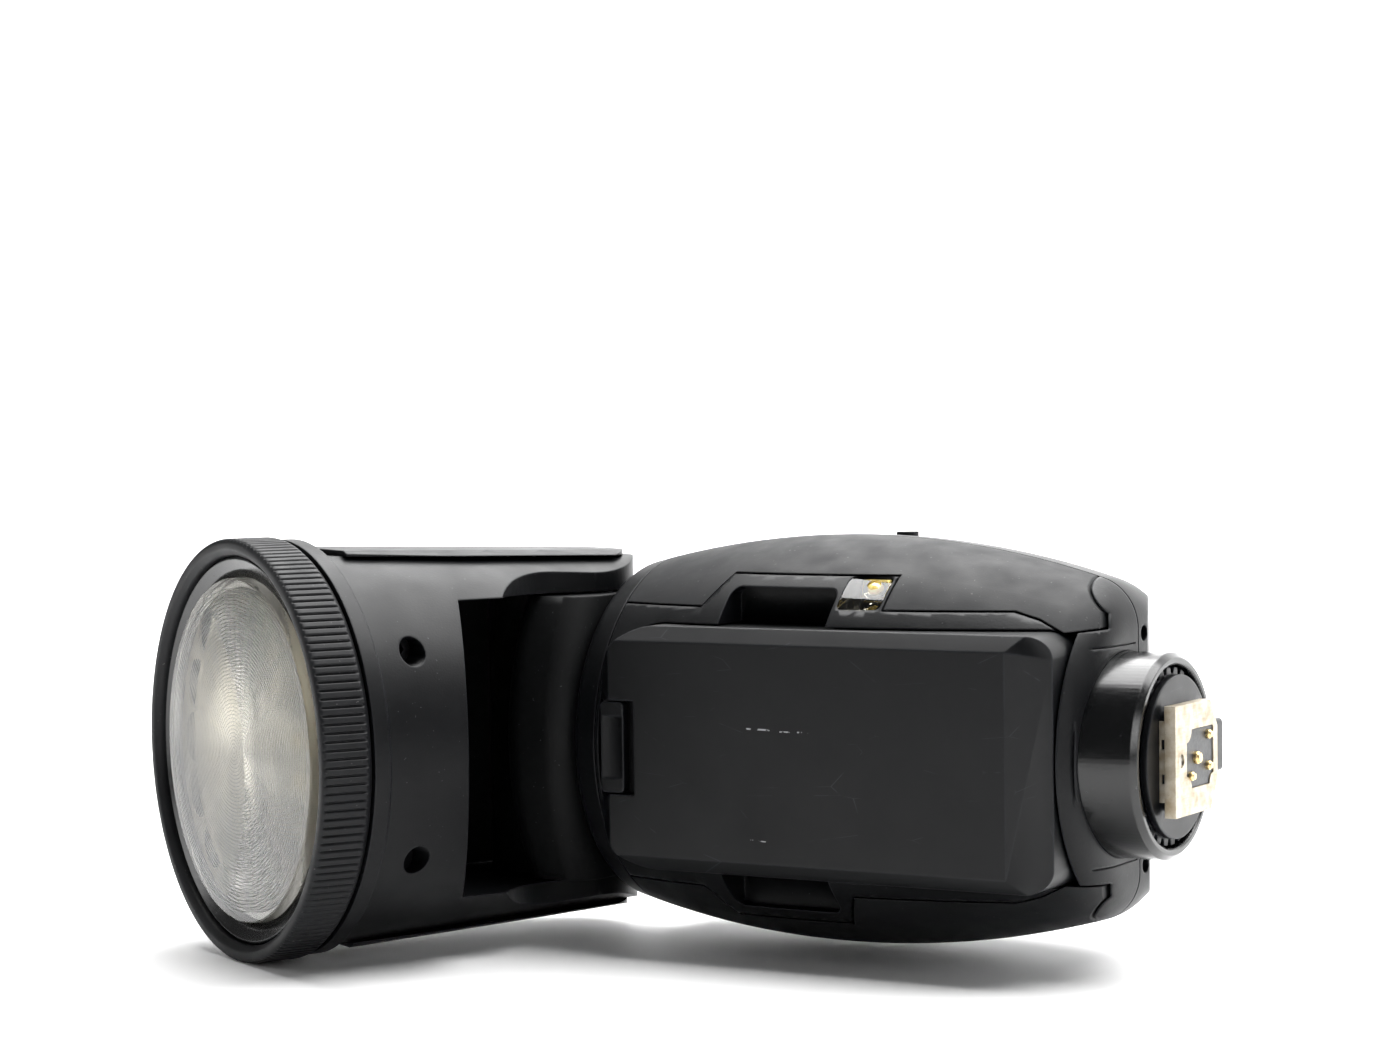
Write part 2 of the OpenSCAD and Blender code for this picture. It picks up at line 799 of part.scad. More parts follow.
module cell_space(side, r) {
    translate([0, battery_back - 1.7 - cell_r, side * (cell_r + 0.45)])
        rod(r, battery_start + 12, battery_start + 77.2);
}

module battery_case() {
    color(black) place() difference() {
        battery_form();
        for (side = [1, -1]) cell_space(side, cell_r + 0.05);
        block([battery_start - 1, battery_start + 7.7], [-far, latch_floor], [-latch_half - play, latch_half + play]);
        block([pad_x - 0.5, pad_x + 3.5], [battery_back - 0.8, battery_back + 1], [-8, 8]);
    }
}

module battery_cell(side) {
    nub_r = 3;
    color("#3f6f8c") place() translate([0, battery_back - 1.7 - cell_r, side * (cell_r + 0.45)]) {
        rod(cell_r, battery_start + 12.1, battery_start + 76.4);
        rod(nub_r, battery_start + 76, battery_start + 77.1);
    }
}

module battery_terminals() {
    color("#c9a24a") place() {
        block([pad_x - 0.4, pad_x + 3.4], [battery_back - 0.8, battery_back - 0.4], [-7.9, 7.9]);
        for (k = [-1 : 1])
            block([pad_x - 0.4, pad_x + 3.4], [battery_back - 0.8, battery_back], [k * 6 - 1.9, k * 6 + 1.9]);
    }
}

module latch_button() {
    color(black) place() difference() {
        plate_y([battery_start + 0.8, battery_start + 5.4], [-latch_half, latch_half], 0.8,
            [-battery_face + 0.3, latch_floor - 0.1]);
        // finger dish
        translate([battery_start + 3.1, -battery_face - 9.2, 0]) cylinder(r = 9.8, h = 11, center = true);
    }
}

// ---------- controls on the display side ----------

module display_frame() {
    color(gloss_black) place() difference() {
        intersection() {
            display_opening(-1.6, back_depth);
            block([0, far], [0, back_depth + 0.6], [-far, far]);
        }
        display_opening(0, 0);
    }
}

module display_glass() {
    color("#14171b") place() intersection() {
        display_opening(0.1, back_depth - 1.5);
        block([0, far], [0, back_depth + 0.2], [-far, far]);
    }
}

module display_panel() {
    color("#2b3a36") place() intersection() {
        display_opening(1.4, back_depth - 2.8);
        block([0, far], [0, back_depth - 1.5], [-far, far]);
    }
}

module settings_dial() {
    notches = 40;
    top = back_depth + dial_h;
    color(rubber_black) place() difference() {
        union() {
            round_y(dial_x, 0, dial_d / 2, [back_depth - 0.4, top - 0.7]);
            round_y(dial_x, 0, dial_d / 2 - 0.7, [back_depth - 0.4, top]);
        }
        round_y(dial_x, 0, island_r + fit, [0, far]);
        for (i = [0 : notches - 1]) translate([dial_x, 0, 0]) rotate([0, 360 / notches * i, 0])
            translate([dial_d / 2 + 0.35, top + 1, 0]) rotate([90, 0, 0]) cylinder(r = 0.7, h = 2.6);
    }
}

// Each key has a flange that keeps it behind the shell.
module centre_button() {
    color(gloss_black) place() {
        difference() {
            round_y(dial_x, 0, centre_r, [key_base, back_depth + 2.8]);
            translate([dial_x, back_depth + 2.8 + 29.3, 0]) sphere(r = 30);
        }
        round_y(dial_x, 0, centre_r + key_lip, [key_base, lip_top]);
    }
}

module menu_key(side) {
    color(rubber_black) place() {
        key_shape(key_x, side * key_z, 0, [key_base, back_depth + 1]);
        key_shape(key_x, side * key_z, key_lip, [key_base, lip_top]);
    }
}

module round_key(side, tint) {
    color(tint) place() {
        round_y(low_key_x, side * low_key_z, low_key_r, [key_base, back_depth + 1]);
        round_y(low_key_x, side * low_key_z, low_key_r + key_lip, [key_base, lip_top]);
    }
}

module test_button() {
    round_key(1, "#5a2a26");
}

module power_button() {
    round_key(-1, rubber_black);
}

module side_button_bore() {
    translate([side_key_x, side_key_y, body_r - 11.5]) cylinder(r = 2 + play, h = 20);
}

module side_button() {
    base_z = body_r - 6.5;
    color(rubber_black) place() translate([side_key_x, side_key_y, base_z]) {
        cylinder(r = 2, h = 6.8);
        cylinder(r = 2.8, h = 2.6);
    }
}

// Rubber flap over the sync socket on the lower side.
module port_area(grow) {
    block([port_x - 7 - grow, port_x + 7 + grow], [13.5 - grow, 22.5 + grow], [-far, -20]);
}

module port_pocket(grow, depth) {
    difference() {
        port_area(grow);
        body_form(depth);
    }
}

module port_socket() {
    translate([port_x, 18, -40]) cylinder(r = 1.8, h = 20);
}

module port_cover() {
    color(rubber_black) place() intersection() {
        body_form();
        port_pocket(0, 1.2);
    }
}

module main_board() {
    color("#1f5b3a") place() {
        plate_y([body_top + 8, body_top + 85.5], [-17.5, 17.5], 2, [board_y, board_y + 1.6]);
        plate_y([key_x - 14, key_x + 14], [-23.2, 23.2], 2, [board_y, board_y + 1.6]);
        round_y(dial_x, 0, 3, [board_y + 1.5, switch_y]);
        for (side = [1, -1]) {
            round_y(key_x, side * key_z, 2, [board_y + 1.5, switch_y]);
            round_y(low_key_x, side * low_key_z, 2, [board_y + 1.5, switch_y]);
        }
    }
}

module capacitor() {
    can_r = 11.4;
    color("#23324f") place() translate([0, board_y - can_r, 8]) {
        rod(can_r, 40, 84);
    }
}

// ---------- foot ----------

module foot_collar() {
    color(gloss_black) place() difference() {
        turned() polygon([
            [0, collar_start], [collar_r, collar_start], [collar_r, collar_end - 1], [collar_r - 0.9, collar_end], [cup_r + 0.4, collar_end],
            [cup_r, collar_end - 0.4], [cup_r, cup_floor], [0, cup_floor]
        ]);
        rod(collar_r - 2.2, 0, cup_floor - 2.4);
        // slot for the release button
        block([cup_floor + 0.2, far], [10, far], [-4.9, 4.9]);
    }
}

module lock_wheel() {
    tooth = 360 / wheel_teeth;
    color(black) place() difference() {
        translate([cup_floor + play, 0, 0]) rotate([0, 90, 0]) linear_extrude(3.4) polygon([
            for (i = [0 : wheel_teeth - 1], k = [0 : 3])
                let (r = wheel_r - (k < 2 ? 0 : 1.1), a = tooth * (i + [0, 0.45, 0.55, 0.9][k]))
                [r * cos(a), r * sin(a)]
        ]);
        rod(boss_r + fit, 0, far);
    }
}

module foot_base() {
    shoe_top = sole_reach - shoe_t;
    color(black) place() difference() {
        union() {
            rod(boss_r, cup_floor, shoe_top - 1.4);
            rod(disc_r, cup_floor + 4, shoe_top - 1.2);
            plate_x([shoe_top - 1.9, shoe_top], 8.4, 1.5);
        }
        translate([0, lock_pin_y, 0]) rod(1.15, cup_floor + 3, far);
    }
}

module plate_x(x, half, r) {
    translate([x[0], 0, 0]) rotate([90, 0, 90]) linear_extrude(x[1] - x[0])
        rounded_rect([-half, half], [-half, half], r);
}

// Sole outline with two clipped corners at the display side; drawn as (y, z).
module shoe_outline() {
    half = shoe_w / 2;
    polygon([
        [-half, -half], [half - 3, -half], [half, -4.6], [half, 4.6], [half - 3, half], [-half, half]
    ]);
}

module contact_outline(grow) {
    difference() {
        rounded_rect([-4.4 - grow, 7.4 + grow], [-4.9 - grow, 4.9 + grow], 0.6);
        for (side = [1, -1]) translate([-4.4 - grow, side * (4.9 + grow)]) circle(r = 2.2 - grow);
        translate([7.4 + grow, -4.9 - grow]) circle(r = 1.8 - grow);
    }
}

module shoe_plate() {
    color(steel) place() difference() {
        translate([sole_reach - shoe_t, 0, 0]) rotate([90, 0, 90]) linear_extrude(shoe_t) difference() {
            shoe_outline();
            contact_outline(0.05);
        }
        translate([0, lock_pin_y, 0]) rod(1.15, 0, far);
    }
}

// Sprung strip under the edge of the shoe plate, with two gaps in it.
module shoe_spring() {
    top = sole_reach - shoe_t;
    color(steel) place() difference() {
        block([top - 1.1, top], [-8.9, -8.4], [-6.8, 6.8]);
        for (side = [1, -1]) block([top - 0.7, far], [-far, far], [side * 2.9 - 0.8, side * 2.9 + 0.8]);
    }
}

module contact_block() {
    color(gloss_black) place() difference() {
        translate([sole_reach - shoe_t, 0, 0]) rotate([90, 0, 90]) linear_extrude(shoe_t - 0.2) contact_outline(0);
        for (p = pin_places) translate([0, p[0], p[1]]) rod(p[2], sole_reach - 1, far);
    }
}

module contact_pin(i) {
    p = pin_places[i];
    color(i == 0 ? "#b88a4a" : "#c9a24a") place() translate([0, p[0], p[1]]) {
        rod(p[2] - 0.02, sole_reach - 1, sole_reach + 0.3);
        rod(p[2] - 0.25, sole_reach, sole_reach + pin_rise);
    }
}

module locking_pin() {
    color(steel) place() translate([0, lock_pin_y, 0]) rod(1.1, cup_floor + 3.1, sole_reach - 0.3);
}

module release_button() {
    color(black) place() plate_y([cup_floor + 0.4, collar_end - 0.2], [-4.6, 4.6], 0.8, [16.4, 21.8]);
}

// ---------- the pieces ----------

zoom_ring();
lens_bezel();
front_lens();
lens_frame();
led_board();
modelling_led(1);  // modelling_led_upper
modelling_led(-1);  // modelling_led_lower
reflector();
flash_tube();
head_shell();
side_cover(1);  // side_cover_upper
side_cover(-1);  // side_cover_lower
head_screw(1);  // head_screw_upper
head_screw(-1);  // head_screw_lower
tilt_pin(1);  // tilt_pin_upper
tilt_pin(-1);  // tilt_pin_lower
swivel_neck();
swivel_retainer();
shoulder_ring();
front_shell();
back_shell();
grip(1);  // grip_upper
grip(-1);  // grip_lower
focus_window();
focus_lamp();
bay_contacts();
latch_button();
battery_case();
battery_cell(1);  // battery_cell_upper
battery_cell(-1);  // battery_cell_lower
battery_terminals();
display_frame();
display_glass();
display_panel();
main_board();
capacitor();
settings_dial();
centre_button();
menu_key(1);  // menu_key_upper
menu_key(-1);  // menu_key_lower
test_button();
power_button();
side_button();
port_cover();
foot_collar();
lock_wheel();
foot_base();
shoe_plate();
shoe_spring();
contact_block();
contact_pin(0);  // contact_pin_centre
contact_pin(1);  // contact_pin_1
contact_pin(2);  // contact_pin_2
contact_pin(3);  // contact_pin_3
locking_pin();
release_button();
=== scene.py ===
# %% [markdown]
# # A round-head camera flash, lying on a pale table
# The flash is built in millimetres as a set of separate solids. This script loads them, gives each
# one the finish of the real piece, and adds the fine shapes that are too small for the solids: the
# moulded ribs of the zoom ring and the steps of the lens.

# %% Load the solids
import json
import math
from functools import partial

import bmesh
import bpy
from mathutils import Matrix, Vector


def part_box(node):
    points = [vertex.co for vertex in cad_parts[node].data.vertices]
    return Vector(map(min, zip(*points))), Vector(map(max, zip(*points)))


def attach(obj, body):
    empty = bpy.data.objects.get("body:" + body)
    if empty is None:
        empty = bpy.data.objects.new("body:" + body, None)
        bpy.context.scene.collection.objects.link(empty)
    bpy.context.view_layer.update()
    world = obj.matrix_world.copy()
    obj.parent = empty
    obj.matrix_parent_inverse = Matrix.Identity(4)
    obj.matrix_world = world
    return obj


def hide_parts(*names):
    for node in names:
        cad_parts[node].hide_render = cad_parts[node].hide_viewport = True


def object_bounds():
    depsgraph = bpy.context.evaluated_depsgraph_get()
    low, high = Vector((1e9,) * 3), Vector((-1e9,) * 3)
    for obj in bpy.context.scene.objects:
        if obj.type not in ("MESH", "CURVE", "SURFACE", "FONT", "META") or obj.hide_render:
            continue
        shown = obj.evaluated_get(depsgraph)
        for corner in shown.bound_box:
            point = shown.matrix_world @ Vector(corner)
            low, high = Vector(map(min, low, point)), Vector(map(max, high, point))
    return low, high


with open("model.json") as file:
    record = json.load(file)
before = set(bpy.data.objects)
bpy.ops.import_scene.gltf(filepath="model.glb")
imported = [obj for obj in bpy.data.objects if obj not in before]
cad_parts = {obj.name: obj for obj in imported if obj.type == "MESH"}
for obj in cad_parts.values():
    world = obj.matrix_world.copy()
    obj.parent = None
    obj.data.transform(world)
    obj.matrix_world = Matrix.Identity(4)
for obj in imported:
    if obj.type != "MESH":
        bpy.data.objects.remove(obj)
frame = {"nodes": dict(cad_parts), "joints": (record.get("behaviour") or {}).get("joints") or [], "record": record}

CAD_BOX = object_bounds()
NODES = frame["nodes"]
MM = 0.001
print("solids loaded:", len(NODES))

# %% [markdown]
# The head points along its light axis, which leans up from the table's long side. Everything round
# in the head is drawn standing upright at first, with its axis along Z, and is then laid along the
# light axis by one matrix. The joints tell where that axis and the tilt hinge are.

# %% Where the head points
JOINTS = {joint["name"]: joint for joint in frame["joints"]}
HINGE = Vector(JOINTS["head_tilt"]["pos_m"])
LIGHT_AXIS = Vector(JOINTS["zoom_turn"]["axis"]).normalized()
UP = Vector((0, 0, 1))
UNDERSIDE = UP.cross(LIGHT_AXIS)
HEAD_PLACE = Matrix.Translation(HINGE) @ Matrix((UNDERSIDE, UP, LIGHT_AXIS)).transposed().to_4x4()
print("light axis:", [round(value, 3) for value in LIGHT_AXIS])

# %% [markdown]
# Colours are chosen as the hex values a paint chart would give. Blender calculates in linear light,
# so one function turns them. One more function adds a node, sets it up and links it, which keeps
# each finish below down to the few lines that say what it is.

# %% Colour and node helpers


def linear(hex_colour):
    """sRGB hex to linear RGBA."""
    parts = [int(hex_colour[i:i + 2], 16) / 255 for i in (1, 3, 5)]
    return tuple(c / 12.92 if c <= 0.04045 else ((c + 0.055) / 1.055) ** 2.4 for c in parts) + (1.0,)


def add_node(tree, kind, settings=None, inputs=None):
    """Adds a node; inputs may be plain values or the output sockets of other nodes."""
    node = tree.nodes.new(kind)
    for name, value in (settings or {}).items():
        setattr(node, name, value)
    for name, value in (inputs or {}).items():
        if isinstance(value, bpy.types.NodeSocket):
            tree.links.new(value, node.inputs[name])
        else:
            node.inputs[name].default_value = value
    return node


def start_finish(name, colour, roughness, **fixed):
    """A new material with its shader, and the place on the piece in metres."""
    material = bpy.data.materials.new(name)
    material.use_nodes = True
    tree = material.node_tree
    shader = tree.nodes["Principled BSDF"]
    shader.inputs["Base Color"].default_value = linear(colour)
    shader.inputs["Roughness"].default_value = roughness
    for socket, value in fixed.items():
        shader.inputs[socket.replace("_", " ")].default_value = value
    place = add_node(tree, "ShaderNodeTexCoord").outputs["Object"]
    return material, tree, shader, place


def maths(tree, operation, *values, clamp=False):
    """One sum on its values; gives the socket with the result."""
    return add_node(tree, "ShaderNodeMath", {"operation": operation, "use_clamp": clamp},
                    dict(enumerate(values))).outputs[0]


def vectors(tree, operation, *values):
    """The same for vectors; a length and a dot product give a number."""
    node = add_node(tree, "ShaderNodeVectorMath", {"operation": operation}, dict(enumerate(values)))
    return node.outputs["Value" if operation in ("LENGTH", "DOT_PRODUCT") else "Vector"]


def distance_from_line(tree, place, point, course):
    """How far the place lies from a straight line."""
    reach = vectors(tree, "SUBTRACT", place, point)
    return vectors(tree, "LENGTH", vectors(tree, "CROSS_PRODUCT", reach, course))


def pattern(tree, place, size_mm, detail=2.0, stretch=(1, 1, 1), rough=0.5):
    """Cloudy pattern whose lumps are about size_mm wide."""
    moved = add_node(tree, "ShaderNodeMapping", inputs={"Vector": place, "Scale": stretch}).outputs[0]
    return add_node(tree, "ShaderNodeTexNoise", inputs={
        "Vector": moved, "Scale": 1 / (size_mm * MM), "Detail": detail, "Roughness": rough,
    }).outputs["Fac"]


def spread(tree, value, low, high, to_low, to_high):
    """Maps a stretch of values onto another, and stops at its ends."""
    return add_node(tree, "ShaderNodeMapRange", inputs={
        "Value": value, "From Min": low, "From Max": high, "To Min": to_low, "To Max": to_high,
    }).outputs["Result"]


def blend_colours(tree, factor, colour_a, colour_b):
    mixed = add_node(tree, "ShaderNodeMix", {"data_type": "RGBA"})
    for index, value in ((0, factor), (6, colour_a), (7, colour_b)):
        if isinstance(value, bpy.types.NodeSocket):
            tree.links.new(value, mixed.inputs[index])
        else:
            mixed.inputs[index].default_value = linear(value) if isinstance(value, str) else value
    return mixed.outputs[2]


def soft_edge(tree, radius_mm):
    """Normal of the surface with its sharp edges rounded."""
    return add_node(tree, "ShaderNodeBevel", {"samples": 4}, {"Radius": radius_mm * MM}).outputs["Normal"]


def edge_rub_and_highlight_mask(tree, rounded):
    """Near one along the edges and zero on the flats: rubbed edges, and a painted highlight along them."""
    true_normal = add_node(tree, "ShaderNodeNewGeometry").outputs["Normal"]
    return spread(tree, vectors(tree, "DOT_PRODUCT", rounded, true_normal), 0.995, 0.93, 0.0, 1.0)


def relief(tree, shader, height, depth_mm, normal=None):
    """Small relief whose height runs over depth_mm."""
    bump = add_node(tree, "ShaderNodeBump", inputs={
        "Strength": 1.0, "Distance": depth_mm * MM, "Height": height,
    })
    if normal is not None:
        tree.links.new(normal, bump.inputs["Normal"])
    tree.links.new(bump.outputs["Normal"], shader.inputs["Normal"])


def dusted(tree, place, colour, dust_colour, size_mm, least, most, amount):
    """Scattered specks of dust: only the crests of a fine pattern between least and most show."""
    speck = spread(tree, pattern(tree, place, size_mm, detail=1), least, most, 0.0, amount)
    return blend_colours(tree, speck, colour, dust_colour)


def uneven(tree, shader, value, low, high, smooth, dull):
    """Roughness that drifts from smooth to dull as a pattern goes from low to high."""
    tree.links.new(spread(tree, value, low, high, smooth, dull), shader.inputs["Roughness"])


def tint(tree, shader, colour):
    """The pattern of colour becomes that of the shader."""
    tree.links.new(colour, shader.inputs["Base Color"])


FINISH = {}
print("helpers ready")

# %% [markdown]
# The housings are ABS moulded against a spark-eroded steel tool. The spark pits leave a fine
# orange-peel of about a third of a millimetre, which breaks a highlight into a soft sheen. The edges
# are painted lighter, partly as rubbing from handling and partly as a painted highlight along them,
# and a few specks of dust stay in the texture.

# %% ABS, spark-textured


def spark_textured(name, colour, roughness, grain_mm=0.35, edge_mm=0.45, rub_and_highlight_colour="#2a2b2f"):
    material, tree, shader, place = start_finish(name, colour, roughness, Specular_IOR_Level=0.17)
    rounded = soft_edge(tree, edge_mm)
    rubbed_and_highlit_edge = edge_rub_and_highlight_mask(tree, rounded)
    patchy = pattern(tree, place, 9, detail=4)
    # the edges are painted lighter: rubbing, and a painted highlight along them
    toned = blend_colours(tree, maths(tree, "MULTIPLY", rubbed_and_highlit_edge, patchy), colour, rub_and_highlight_colour)
    tint(tree, shader, dusted(tree, place, toned, "#4c4d50", 0.55, 0.765, 0.80, 0.5))
    uneven(tree, shader, patchy, 0.3, 0.7, roughness - 0.05, roughness + 0.06)
    relief(tree, shader, pattern(tree, place, grain_mm, detail=1), 0.018, rounded)
    return material


FINISH["shell_black"] = spark_textured("ABS, spark-textured", "#090a0c", 0.42)
# The neck is the shell's plastic painted darker, as painted shade for the shadow it lies in, with a coarser,
# duller spark texture.
SHADED_NECK_FINISH = spark_textured("ABS, coarse spark texture, painted darker for shade", "#050607", 0.62,
                             grain_mm=0.5, rub_and_highlight_colour="#101113")
print("finish:", FINISH["shell_black"].name)

# %% [markdown]
# The battery case is the same plastic from a finer, satin tool, so it shines more. It is taken out
# and put down all the time: hair-fine scratches cross its face. Its edges are painted lighter, partly
# as rubbing and partly as a painted highlight.

# %% ABS, satin and scratched


def scratch_line(tree, place, start_mm, end_mm, width_mm):
    """One straight, broken scratch between two places given from the tilt hinge."""
    start, end = (HINGE + Vector(corner) * MM for corner in (start_mm, end_mm))
    course, half = (end - start).normalized(), (end - start).length / 2
    along = vectors(tree, "DOT_PRODUCT", vectors(tree, "SUBTRACT", place, start), course)
    away = distance_from_line(tree, place, start, course)
    line = spread(tree, away, 0.3 * width_mm * MM, 0.6 * width_mm * MM, 1.0, 0.0)
    broken = spread(tree, pattern(tree, place, 1.6, detail=2), 0.46, 0.52, 0.0, 1.0)
    inside = maths(tree, "COMPARE", along, half, half)
    return maths(tree, "MULTIPLY", maths(tree, "MULTIPLY", line, inside), broken)


def satin(name, colour, roughness, scratches=()):
    material, tree, shader, place = start_finish(name, colour, roughness, Specular_IOR_Level=0.22)
    rounded = soft_edge(tree, 0.5)
    rubbed_and_highlit_edge = edge_rub_and_highlight_mask(tree, rounded)
    patchy = pattern(tree, place, 14, detail=5)
    # long cells, about 9 mm apart, whose borders make the hair-fine scratches
    cells = add_node(tree, "ShaderNodeMapping", inputs={
        "Vector": place, "Scale": (0.35, 1.0, 1.3), "Rotation": (0.0, 0.6, 0.2)}).outputs[0]
    border = add_node(tree, "ShaderNodeTexVoronoi", {"feature": "DISTANCE_TO_EDGE"}, {
        "Vector": cells, "Scale": 1 / (9 * MM), "Randomness": 1.0}).outputs["Distance"]
    hair = maths(tree, "MULTIPLY", spread(tree, border, 0.0, 0.006, 1.0, 0.0),
                 spread(tree, pattern(tree, place, 5, detail=2), 0.56, 0.64, 0.0, 0.7))
    # lighter edges (rubbing plus a painted highlight) and the hair-fine scratches
    rub_and_highlight = maths(tree, "MAXIMUM", maths(tree, "MULTIPLY", rubbed_and_highlit_edge, patchy), hair)
    toned = blend_colours(tree, rub_and_highlight, colour, "#2c2e33")
    for start_mm, end_mm, width_mm in scratches:
        toned = blend_colours(tree, scratch_line(tree, place, start_mm, end_mm, width_mm), toned, "#9a9b9d")
    tint(tree, shader, toned)
    uneven(tree, shader, patchy, 0.25, 0.75, roughness - 0.06, roughness + 0.08)
    relief(tree, shader, pattern(tree, place, 0.25, detail=1), 0.006, rounded)
    return material


FACE = -26.2                                  # battery face, from the hinge
FINISH["battery_black"] = satin("ABS, satin moulded", "#07080a", 0.36, scratches=(
    ((54.3, FACE, 4.4), (60.6, FACE, 4.3), 0.3),
    ((62.0, FACE, 4.1), (68.4, FACE, 4.2), 0.24),
    ((56.0, FACE, -14.8), (60.0, FACE, -15.0), 0.2),
))
print("finish:", FINISH["battery_black"].name)

# %% [markdown]
# The skins on the sides, the keys and the zoom ring are moulded rubber. Rubber scatters light wide,
# so it is duller and a shade lighter than the plastic, and it holds dust in its pores.

# %% Rubber, moulded


def rubber(name, colour, roughness, dust, edge_mm=0.3):
    material, tree, shader, place = start_finish(name, colour, roughness, Specular_IOR_Level=0.22)
    rounded = soft_edge(tree, edge_mm)
    patchy = pattern(tree, place, 6, detail=5)
    toned = blend_colours(tree, spread(tree, patchy, 0.35, 0.75, 0.0, 0.5), colour, "#1b1c1f")
    tint(tree, shader, dusted(tree, place, toned, "#636260", 0.6, 0.74, 0.79, dust))
    uneven(tree, shader, patchy, 0.3, 0.7, roughness - 0.06, roughness + 0.08)
    relief(tree, shader, pattern(tree, place, 0.28, detail=2), 0.014, rounded)
    return material


FINISH["grip_rubber"] = rubber("silicone rubber skin, moulded", "#0a0b0d", 0.56, 0.3)
FINISH["ring_rubber"] = rubber("ribbed rubber, moulded", "#0b0c0e", 0.5, 0.4, edge_mm=0.15)
FINISH["key_rubber"] = rubber("key rubber, moulded", "#121315", 0.58, 0.25)
FINISH["dial_rubber"] = rubber("dial rubber, moulded", "#0f1012", 0.5, 0.25, edge_mm=0.2)
print("rubbers:", 4)

# %% [markdown]
# The foot collar, the bezel and the display frame are polished polycarbonate. Polished black shows
# the lights as clear shapes, and the fine swirls of wiping blur them a little. The contact block is
# nylon from a smooth tool: the same make-up, only duller.

# %% Polycarbonate, polished


def polished(name, colour, roughness):
    material, tree, shader, place = start_finish(name, colour, roughness)
    rounded = soft_edge(tree, 0.35)
    swirl = pattern(tree, place, 0.5, detail=6, stretch=(0.15, 1, 1), rough=0.7)
    uneven(tree, shader, swirl, 0.4, 0.75, roughness, roughness + 0.13)
    tint(tree, shader, dusted(tree, place, colour, "#77787a", 0.5, 0.78, 0.81, 0.3))
    relief(tree, shader, pattern(tree, place, 3, detail=2), 0.004, rounded)
    return material


FINISH["gloss_black"] = polished("polycarbonate, polished", "#070809", 0.17)
BLOCK_FINISH = polished("nylon, dark grey moulded", "#26272a", 0.4)
FINISH["test_red"] = polished("polycarbonate, red translucent", "#4a1512", 0.25)
FINISH["display_glass"] = polished("acrylic window, smoked", "#0b0e11", 0.06)
print("polished:", 4)

# %% [markdown]
# The shoe plate is nickel-plated brass with a warm tint, drawn over by hundreds of camera shoes: its
# lines run the way it slides. The contacts are gold on nickel, the pivot pins and screws are steel.

# %% Metals, plated and ground


def worn_metal(name, colour, cloudy, roughness, lines_mm, stretch, depth_mm=0.002):
    material, tree, shader, place = start_finish(name, colour, roughness, Metallic=1.0)
    rounded = soft_edge(tree, 0.2)
    lines = pattern(tree, place, lines_mm, detail=4, stretch=stretch, rough=0.7)
    cloud = pattern(tree, place, 2.5, detail=4)
    tint(tree, shader, blend_colours(tree, spread(tree, cloud, 0.35, 0.7, 0.0, 1.0), colour, cloudy))
    uneven(tree, shader, lines, 0.3, 0.75, roughness - 0.08, roughness + 0.2)
    relief(tree, shader, lines, depth_mm, rounded)
    return material


FINISH["shoe_nickel"] = worn_metal("brass, nickel-plated", "#b9b1a2", "#93866f", 0.34, 0.35, (1, 0.12, 1))
FINISH["contact_gold"] = worn_metal("brass, gold-plated", "#e6cf9a", "#c4a468", 0.25, 0.3, (1, 1, 1))
FINISH["pin_steel"] = worn_metal("steel, ground", "#b5b3ae", "#8f8c86", 0.3, 0.3, (0.2, 1, 1))
FINISH["screw_steel"] = worn_metal("steel, black oxide", "#2b2b2d", "#1a1a1c", 0.42, 0.3, (1, 1, 1))
FINISH["cell_steel"] = worn_metal("steel can, film sleeve", "#2f6a8c", "#25556f", 0.35, 1.5, (0.2, 1, 1))
FINISH["capacitor_sleeve"] = worn_metal("aluminium can, film sleeve", "#24365a", "#1b2945",
                                        0.4, 1.5, (0.2, 1, 1))
print("metals:", 6)

# %% [markdown]
# The optics: a clear acrylic lens, the small clear window of the focus lamp, the quartz tube, the
# vacuum-plated bowl, and white nylon for the frame that holds them. Clear acrylic needs a real
# index of refraction, 1.49, or the steps behind it would not show.

# %% Clear and white parts of the light


def clear(name, colour, roughness, index):
    material, tree, shader, place = start_finish(
        name, colour, roughness, Transmission_Weight=1.0, IOR=index)
    haze = pattern(tree, place, 4, detail=3)
    uneven(tree, shader, haze, 0.4, 0.8, roughness, roughness + 0.05)
    return material


def stepped_acrylic(pitch_mm, reach_mm):
    """Clear acrylic with matt risers, painted darker as painted shade, ring after ring round the light axis."""
    material, tree, shader, place = start_finish(
        "acrylic lens, moulded in steps", "#efece2", 0.02, Transmission_Weight=1.0, IOR=1.49)
    away = distance_from_line(tree, place, HINGE, LIGHT_AXIS)
    within = maths(tree, "FRACT", maths(tree, "DIVIDE", away, pitch_mm * MM))
    stepped = maths(tree, "LESS_THAN", away, reach_mm * MM)
    riser_matt_and_shaded = maths(tree, "MULTIPLY", spread(tree, within, 0.62, 0.8, 0.0, 1.0), stepped)
    uneven(tree, shader, riser_matt_and_shaded, 0.0, 1.0, 0.02, 0.35)
    # the risers are painted darker: painted shade for the dark rings that the steps show
    tint(tree, shader, blend_colours(tree, riser_matt_and_shaded, "#fbf9f2", "#b0ada3"))
    return material


STEP_R, STEP_COUNT = 28.6, 44                 # the stepped field of the lens
FINISH["clear_lens"] = stepped_acrylic(STEP_R / STEP_COUNT, STEP_R)
FINISH["clear_window"] = clear("acrylic window, moulded", "#f5f0dd", 0.03, 1.49)
FINISH["tube_glass"] = clear("quartz tube", "#ffffff", 0.05, 1.46)


